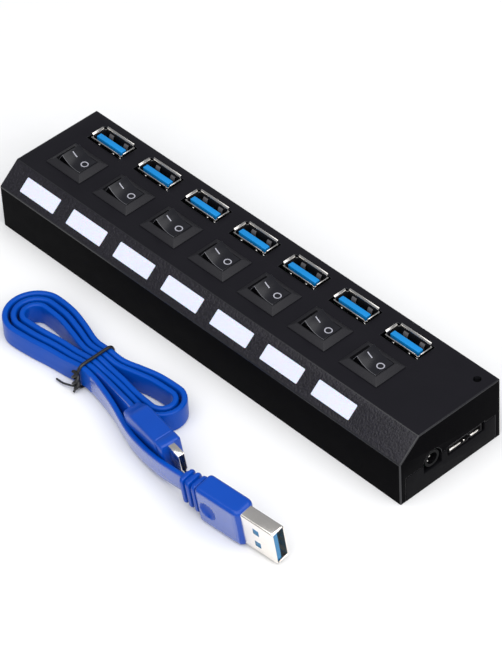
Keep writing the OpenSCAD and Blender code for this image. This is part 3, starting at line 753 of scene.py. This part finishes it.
# %% A maker for rounded copies
def rounded_copy(name, radius, weigh=None, segments=3):
    """A merged copy of a CAD node; weigh(edge) gives each edge a share of the radius."""
    bm = bmesh.new()
    bm.from_mesh(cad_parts[name].data)
    bmesh.ops.remove_doubles(bm, verts=bm.verts, dist=2e-6)
    bmesh.ops.dissolve_limit(bm, angle_limit=math.radians(0.5), verts=bm.verts, edges=bm.edges)
    weight = bm.edges.layers.float.new("bevel_weight_edge")
    for edge in bm.edges:
        sharp = len(edge.link_faces) == 2 and edge.calc_face_angle() > math.radians(24)
        if sharp and edge.calc_length() > 0.5 * MM:
            edge[weight] = weigh(edge) if weigh else 1
    copy = linked("copy", mesh_of(bm))
    bevel = copy.modifiers.new("edge", "BEVEL")
    bevel.limit_method, bevel.segments, bevel.width = "WEIGHT", segments, radius * MM
    bevel.use_clamp_overlap = False
    return baked(copy)


# %% [markdown]
# ## The housing
# The top shell carries the look of the hub. Its long outer edges get a larger
# radius than the rims of its openings. The bevel along the front has a sparked
# texture from the mould, so its faces take a second finish.

# %% Round the housing
low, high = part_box("top_shell")
OUTLINE_GAP = 0.02 * MM
BEVEL_RUN, BEVEL_DROP = 7.3, 6.1
BEVEL_TOP_Y = low.y + BEVEL_RUN * MM
BEVEL_LOW_Z = high.z - BEVEL_DROP * MM
BEVEL_NORMAL = Vector((0, -BEVEL_DROP, BEVEL_RUN)).normalized()


def on_outline(point):
    """True if a point lies on the housing's outer profile."""
    rise = (point - Vector((0, low.y, BEVEL_LOW_Z))).dot(BEVEL_NORMAL)
    return min(abs(point.y - low.y), abs(point.y - high.y), abs(point.z - high.z), abs(rise)) < OUTLINE_GAP


def on_ridge(point):
    """Which long edge of the profile a point lies on, or none."""
    ridges = ((low.y, BEVEL_LOW_Z), (BEVEL_TOP_Y, high.z), (high.y, high.z))
    for k, (y, z) in enumerate(ridges):
        if math.hypot(point.y - y, point.z - z) < OUTLINE_GAP:
            return k
    return None


def housing_weight(edge):
    """The full radius for the outer edges, and less for the rims of openings."""
    a, b = (v.co for v in edge.verts)
    at_end = min(abs(a.x - low.x) + abs(b.x - low.x), abs(a.x - high.x) + abs(b.x - high.x)) < OUTLINE_GAP
    if at_end and on_outline(a) and on_outline(b):
        return 1
    if on_ridge(a) is not None and on_ridge(a) == on_ridge(b):
        return 1
    return 0.3


def paint(made, *choices):
    """Gives faces another finish: each choice is a finish and a test of the face's normal."""
    for finish_used, wanted in choices:
        made.data.materials.append(finish_used)
        for face in made.data.polygons:
            if wanted(face.normal):
                face.material_index = len(made.data.materials) - 1


def turned_edge(normal):
    """True for the faces of a rounded edge, which point along no flat side."""
    return max(abs(normal.x), abs(normal.y), abs(normal.z), abs(normal.dot(BEVEL_NORMAL))) < 0.99


housing_mesh = rounded_copy("top_shell", 0.38, housing_weight)
housing = piece("housing_shell", housing_mesh, HOUSING, 25)
# The upright walls take the darker side finish, which is painted shade.
paint(housing, (SPARK, lambda normal: normal.dot(BEVEL_NORMAL) > 0.99),
      (SHADED_SIDE, lambda normal: abs(normal.z) < 0.1), (EDGE, turned_edge))
settle(housing, "hub", "housing_plastic", "top_shell")

# %% Round the bottom cover
cover = piece("cover_plate", rounded_copy("bottom_cover", 0.2), COVER, 25)
settle(cover, "hub", "cover_plastic", "bottom_cover")

# %% [markdown]
# ## Light windows
# One clear moulding behind the bevel lights all seven windows. Each window is a
# raised pad of that moulding, flush with the housing.

# %% Round the light guide
# The windows' faint glow is painted light; the lamps behind them are not lit.
guide = piece("light_windows", rounded_copy("light_guide", 0.12), MILKY_PAINTED_GLOW, 25)
settle(guide, "hub", "milky_plastic", "light_guide")

# %% [markdown]
# ## Port shells
# A port's shell is folded sheet. At its mouth each wall flares outwards into a lip,
# and the lips are cut apart at the corners, so a plug finds its way in. Spring
# fingers bulge inwards from the long walls and hold the plug. One port is modelled
# with care, and a node tree repeats it along the row.

# %% One port's shell
first_low, first_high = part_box("port_shell_1")
PITCH = (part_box("port_shell_2")[0].x - first_low.x) / MM
PORT_AT = (first_low + first_high) / 2 / MM
PORT_TOP = first_high.z / MM
PORT_FOOT = first_low.z / MM
PORT_L, PORT_D = 13.1, 5.7


def port_skin():
    """The outer skin of one port: straight walls, then four separate lips."""
    bm = bmesh.new()
    outline = rounded_outline(PORT_L, PORT_D, 0.7, 3)
    levels = [(PORT_FOOT, 0), (PORT_TOP - 1.5, 0), (PORT_TOP - 0.85, 0), (PORT_TOP - 0.5, 0.1),
              (PORT_TOP - 0.22, 0.3), (PORT_TOP - 0.05, 0.52)]
    rings = []
    for z, flare in levels:
        ring = []
        for x, y in outline:
            long_wall = abs(y) > PORT_D / 2 - 0.02
            short_wall = abs(x) > PORT_L / 2 - 0.02
            ox = math.copysign(flare, x) if short_wall else 0
            oy = math.copysign(flare, y) if long_wall else 0
            ring.append(bm.verts.new(Vector((PORT_AT.x + x + ox, PORT_AT.y + y + oy, z)) * MM))
        rings.append(ring)
    for r, (a, b) in enumerate(zip(rings, rings[1:])):
        for k, here in enumerate(outline):
            there = outline[(k + 1) % len(outline)]
            straight = abs(here[0] - there[0]) > 2 or abs(here[1] - there[1]) > 2
            if r < 2 or straight:
                after = (k + 1) % len(outline)
                bm.faces.new([a[k], a[after], b[after], b[k]])
    bmesh.ops.delete(bm, geom=[v for v in bm.verts if not v.link_faces], context="VERTS")
    bmesh.ops.recalc_face_normals(bm, faces=bm.faces)
    return mesh_of(bm)


def spring(x, side):
    """A sprung finger on a long wall; side is -1 for the front wall and 1 for the back one."""
    profile = [(0.02, 7.0), (0.25, 5.0), (0.5, 3.2), (0.62, 2.4), (0.55, 1.9), (0.3, 1.45), (0.08, 1.2)]
    points, faces = [], []
    for inset, depth in profile:
        y = side * (PORT_D / 2 - 0.3 - inset)
        for dx, dy in ((-0.85, 0), (0.85, 0), (0.85, -side * 0.2), (-0.85, -side * 0.2)):
            points.append((PORT_AT.x + x + dx, PORT_AT.y + y + dy, PORT_TOP - depth))
    for k in range(len(profile) - 1):
        for n in range(4):
            a, b = 4 * k + n, 4 * k + (n + 1) % 4
            faces.append([a, b, b + 4, a + 4])
    last = 4 * (len(profile) - 1)
    faces += [[0, 1, 2, 3], [last, last + 1, last + 2, last + 3]]
    return shape(points, faces)


SOLID_SHEET = (("SOLIDIFY", {"thickness": 0.3 * MM, "offset": -1}),
               ("BEVEL", {"width": 0.06 * MM, "segments": 2, "limit_method": "ANGLE",
                          "angle_limit": math.radians(50)}))


def spring_back(x):
    """The rounded back of a front spring, which bulges into the slot in front of the shell."""
    y, z = PORT_AT.y - PORT_D / 2, PORT_TOP - 1.75
    rings = []
    for k in range(1, 6):
        slope = math.pi * k / 6
        rings.append([(PORT_AT.x + x + 0.55 * math.sin(slope) * c, y - 0.378 * math.sin(slope) * s,
                       z + 0.5 * math.cos(slope)) for c, s in circle(0, 0, 1, 12)])
    return loft(rings)


def along_row(mesh, material, modifiers=()):
    """The first port's mesh, and a copy of it at every other port."""
    return row(mesh, len(PORTS), (PITCH, 0, 0), material, modifiers=modifiers)


walls = along_row(port_skin(), SHEET, SOLID_SHEET)
sprung = [spring(x, side) for x in (-3.2, 3.2) for side in (-1, 1)]
springs = along_row(joined(*sprung, *[spring_back(x) for x in (-3.2, 3.0, 6.0)]), SHEET)
ports = piece("port_shells", joined(walls, springs), SHEET, 40)
ports.data.materials.append(SHADED_SHEET)
ports.data.materials.append(SHADED_SPRING)
# Painted shade: the springs inside the port take the darker grey steel.
for face in ports.data.polygons[len(walls.polygons):]:
    if face.center.y > (PORT_AT.y - PORT_D / 2) * MM:
        face.material_index = 2
# Painted shade: the inward faces of the walls below the lips take the nearly black steel.
for face in ports.data.polygons[:len(walls.polygons)]:
    across = (face.center.x / MM - PORT_AT.x + PITCH / 2) % PITCH - PITCH / 2
    outward = (across / PORT_L, (face.center.y / MM - PORT_AT.y) / PORT_D)
    faces_in = face.normal.x * outward[0] + face.normal.y * outward[1] < 0
    if faces_in and face.center.z < (PORT_TOP - 0.45) * MM:
        face.material_index = 1
settle(ports, "hub", "plated_steel", *[f"port_shell_{i}" for i in PORTS])

# %% [markdown]
# ## Port tongues
# The bright azure tongue is the insulator that carries the contacts. Only its top
# and its upper sides show in the mouth of a port. Four flat gold contacts lie on
# its rear face, and their tops bend back into it.

# %% Tongues and contacts
tongues = piece("port_tongues", along_row(rounded_copy("port_tongue_1", 0.22), AZURE), AZURE, 30)
settle(tongues, "hub", "port_blue", *[f"port_tongue_{i}" for i in PORTS])
contact_low, contact_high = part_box("port_contacts")
TONGUE_BACK = contact_low.y / MM + 0.1
CONTACT_FOOT, CONTACT_TOP = contact_low.z / MM, contact_high.z / MM


def contact_blade(x):
    """A flat contact whose top bends back into the tongue."""
    profile = [(0, CONTACT_FOOT), (0.14, CONTACT_FOOT + 0.1), (0.14, CONTACT_TOP - 0.6), (0.02, CONTACT_TOP)]
    points = []
    for dy, z in profile:
        points += [(x - 0.5, TONGUE_BACK + dy, z), (x + 0.5, TONGUE_BACK + dy, z)]
    back = [(x - 0.5, TONGUE_BACK - 0.05, CONTACT_FOOT), (x + 0.5, TONGUE_BACK - 0.05, CONTACT_FOOT),
            (x - 0.5, TONGUE_BACK - 0.05, CONTACT_TOP), (x + 0.5, TONGUE_BACK - 0.05, CONTACT_TOP)]
    faces = [[0, 1, 3, 2], [2, 3, 5, 4], [4, 5, 7, 6], [6, 7, 11, 10], [10, 11, 9, 8], [8, 9, 1, 0],
             [0, 2, 4, 6, 10, 8], [1, 3, 5, 7, 11, 9]]
    return shape(points + back, faces)


blades = joined(*[contact_blade(PORT_AT.x + x) for x in (-3.5, -1, 1, 3.5)])
settle(piece("port_contact_blades", along_row(blades, GOLD), GOLD), "hub", "contact_metal", "port_contacts")

# %% [markdown]
# ## Switches
# Each switch is a satin frame with a sloped rim, and a rocker on two pins. The
# rockers tip on their own, so each is a piece of its own on its own body. The marks
# for on and off are printed: a thin bar on the raised half and a ring on the
# pressed one.

# %% Frames
frames = piece("switch_frames", along_row(rounded_copy("switch_frame_1", 0.14), BEZEL), BEZEL, 28)
settle(frames, "hub", "switch_plastic", *[f"switch_frame_{i}" for i in PORTS])

# %% Rockers with their marks
ROCKER_TILT = 18
PIVOT_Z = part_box("top_shell")[1].z / MM - 1.2
pin_low, pin_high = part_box("switch_rocker_1")
SWITCH_Y = (pin_low.y + pin_high.y) / 2 / MM
SWITCH_X = PORT_AT.x - 0.4
ROCKER_HALF_W = 3.4

# A rocker's top, from its raised end to its pressed end, as (x, z)
DISHED_TOP = [(-3.9, 4.3), (-3.0, 3.9), (-2.1, 3.61), (-1.1, 3.41), (0, 3.34), (1.1, 3.41), (2.1, 3.61),
              (3.0, 3.9), (3.9, 4.3)]


def rocker_mesh():
    """A rocker in its own frame: a dished top and bellied ends. Its pin is joined to it later."""
    under = [(4.9, 1.0), (4.3, -0.6), (1.6, -1.2), (0.8, -6.4), (-0.8, -6.4), (-1.6, -1.2), (-4.3, -0.6),
             (-4.9, 1.0)]
    return loft([[(x, y, z) for x, z in DISHED_TOP + under] for y in (-ROCKER_HALF_W, ROCKER_HALF_W)])


def rounded_solid(mesh, radius, angle, segments=3):
    """A closed mesh with its edges rounded, as a new mesh."""
    solid = linked("solid", mesh)
    bevel = solid.modifiers.new("edge", "BEVEL")
    bevel.limit_method, bevel.segments, bevel.width = "ANGLE", segments, radius * MM
    bevel.angle_limit = math.radians(angle)
    return baked(solid)


def top_height(x):
    """Height of the dished top at x."""
    for (ax, az), (bx, bz) in zip(DISHED_TOP, DISHED_TOP[1:]):
        if ax <= x <= bx:
            return az + (bz - az) * (x - ax) / (bx - ax)
    return DISHED_TOP[-1][1]


def laid(outline, lift):
    """An outline laid on the rocker's top, `lift` above it."""
    return [(x, y, top_height(x) + lift) for x, y in outline]


LIFT, SINK = 0.03, 0.06


def printed_ring(outer, inner):
    """A thin ring of print between two outlines, following the rocker's top."""
    rings = [laid(outer, LIFT), laid(inner, LIFT), laid(inner, -SINK), laid(outer, -SINK)]
    count = len(outer)
    faces = []
    for r in range(4):
        for k in range(count):
            a, b = r * count, ((r + 1) % 4) * count
            faces.append([a + k, a + (k + 1) % count, b + (k + 1) % count, b + k])
    return shape([p for ring in rings for p in ring], faces)


RING_AT, RING_OUTER, RING_INNER = (2.25, 0.1), 1.17, 0.85
BAR_STEP, BAR_WIDTH = 0.5, 0.34
PIN_RADIUS, PIN_END = 1.0, 4.4
ring_mark = printed_ring(circle(*RING_AT, RING_OUTER), circle(*RING_AT, RING_INNER))
bar_parts = []
for x0 in (-3.15, -2.65, -2.15, -1.65):
    patch = [(x0, 0.0), (x0, BAR_WIDTH), (x0 + BAR_STEP, BAR_WIDTH), (x0 + BAR_STEP, 0.0)]
    bar_parts.append(loft([laid(patch, LIFT), laid(patch, -SINK)]))
bar_mark = joined(*bar_parts)
pin_mesh = loft([[(x, y, z) for x, z in circle(0, 0, PIN_RADIUS, 24)] for y in (-PIN_END, PIN_END)])
body_mesh = joined(rounded_solid(rocker_mesh(), 0.2, 40), pin_mesh)
for i in PORTS:
    tipped = (Matrix.Translation(Vector((SWITCH_X + (i - 1) * PITCH, SWITCH_Y, PIVOT_Z)) * MM)
              @ Matrix.Rotation(math.radians(ROCKER_TILT), 4, "Y"))
    mesh = joined(body_mesh, bar_mark, ring_mark)
    mesh.transform(tipped)
    rocker = piece(f"rocker_{i}_cap", mesh, ROCKER, 28)
    # The flat sides of each rocker take the darker side finish, which is painted shade.
    for extra in (INK, PAINTED_GLINT, SHADED_SIDE):
        rocker.data.materials.append(extra)
    for face in rocker.data.polygons[len(body_mesh.polygons):]:
        face.material_index = 1
    # Painted highlight: the upper front edge of each rocker takes the bright glint finish.
    for face in rocker.data.polygons[:len(body_mesh.polygons)]:
        if abs(face.normal.y) > 0.97:
            face.material_index = 3
        elif face.normal.y < -0.3 and face.center.z > (PIVOT_Z + 1) * MM:
            face.material_index = 2
    settle(rocker, f"rocker_{i}", "rocker_plastic", f"switch_rocker_{i}")

# %% [markdown]
# ## Sockets in the end wall
# The power jack is a moulded body with a turned pin in its hole and three small
# contact leaves at its mouth. The wide socket for the cable is a folded shell in
# two parts, with a black tongue and three bright lips at its mouth.

# %% Power jack
def turned(profile, centre, sides=40):
    """A shape turned about an axis along X; the profile is (x, radius)."""
    return loft([[(x, y, z) for y, z in circle(*centre, r, sides)] for x, r in profile])


jack_low, jack_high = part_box("dc_jack_body")
JACK = ((jack_low.y + jack_high.y) / 2 / MM, 9.0)
jack = piece("jack_body", rounded_copy("dc_jack_body", 0.15), NYLON, 30)
settle(jack, "hub", "socket_plastic", "dc_jack_body")
MOUTH = jack_high.x / MM
pin_profile = ((-8, 0.65), (-1.7, 0.65), (-1.2, 0.55), (-0.95, 0.3), (-0.9, 0.05))
pin = turned([(MOUTH + x, radius) for x, radius in pin_profile], JACK, 24)


def slab(low, high):
    """A plain box between two corners."""
    points = [(x, y, z) for x in (low[0], high[0]) for y in (low[1], high[1]) for z in (low[2], high[2])]
    return shape(points, [[0, 1, 3, 2], [4, 6, 7, 5], [0, 4, 5, 1], [2, 3, 7, 6], [0, 2, 6, 4], [1, 5, 7, 3]])


leaves = []
for y, z in ((-1.15, 0.95), (0.45, 1.45), (-1.35, -0.5)):
    y, z = JACK[0] + y, JACK[1] + z
    leaves.append(slab((MOUTH - 3, y - 0.28, z - 0.22), (MOUTH - 0.45, y + 0.28, z + 0.22)))
settle(piece("jack_pin", joined(pin, *leaves), SHEET, 40), "hub", "plated_steel", "dc_jack_contacts")

# %% Upstream socket
up_low, up_high = (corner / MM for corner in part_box("upstream_shell"))
# Painted shade: the whole shell takes the nearly black steel; only its lips stay bright.
up_sheet = piece("upstream_sheet", rounded_copy("upstream_shell", 0.06), SHADED_SHEET, 30)
settle(up_sheet, "hub", "plated_steel", "upstream_shell")
lips = []
for start, end in ((0.35, 4.7), (5.7, 6.2), (8.35, 11.5)):
    block = slab((up_high.x - 1.2, up_low.y + start, up_low.z + 0.35),
                 (up_high.x - 0.05, up_low.y + end, up_low.z + 1.1))
    lips.append(rounded_solid(block, 0.25, 60))
settle(piece("upstream_lips", joined(*lips), PLATE, 30), "hub", "plated_steel")
settle(piece("upstream_blade", rounded_copy("upstream_tongue", 0.08), NYLON, 30), "hub", "socket_plastic",
       "upstream_tongue")

# %% [markdown]
# ## What lies inside
# The board, its parts and the screws keep their CAD shapes. They only need their
# finishes, which are put in the material slots of the frame's own objects.

# %% Finish the inner parts
INNER = {"main_pcb": BOARD, "controller_chips": EPOXY, "capacitors": CAN, "switch_terminals": GOLD,
         "case_screws": ZINC, "indicator_leds": LAMP, "power_light_pipe": SMOKED}
INNER.update({f"contact_lever_{i}": GOLD for i in PORTS})
for name, material in INNER.items():
    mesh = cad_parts[name].data
    mesh.materials.clear()
    mesh.materials.append(material)
print("inner parts finished:", len(INNER))

# %% Floor
FAR = 3000
sheet = shape([(-FAR, -FAR, 0), (FAR, -FAR, 0), (FAR, FAR, 0), (-FAR, FAR, 0)], [[0, 1, 2, 3]], closed=False)
floor = piece("floor", sheet, finish("pale_floor", (0.9, 0.9, 0.9), 0.6, specular=0.2, mottle=0.01))
print("floor", 2 * FAR * MM, "m wide")
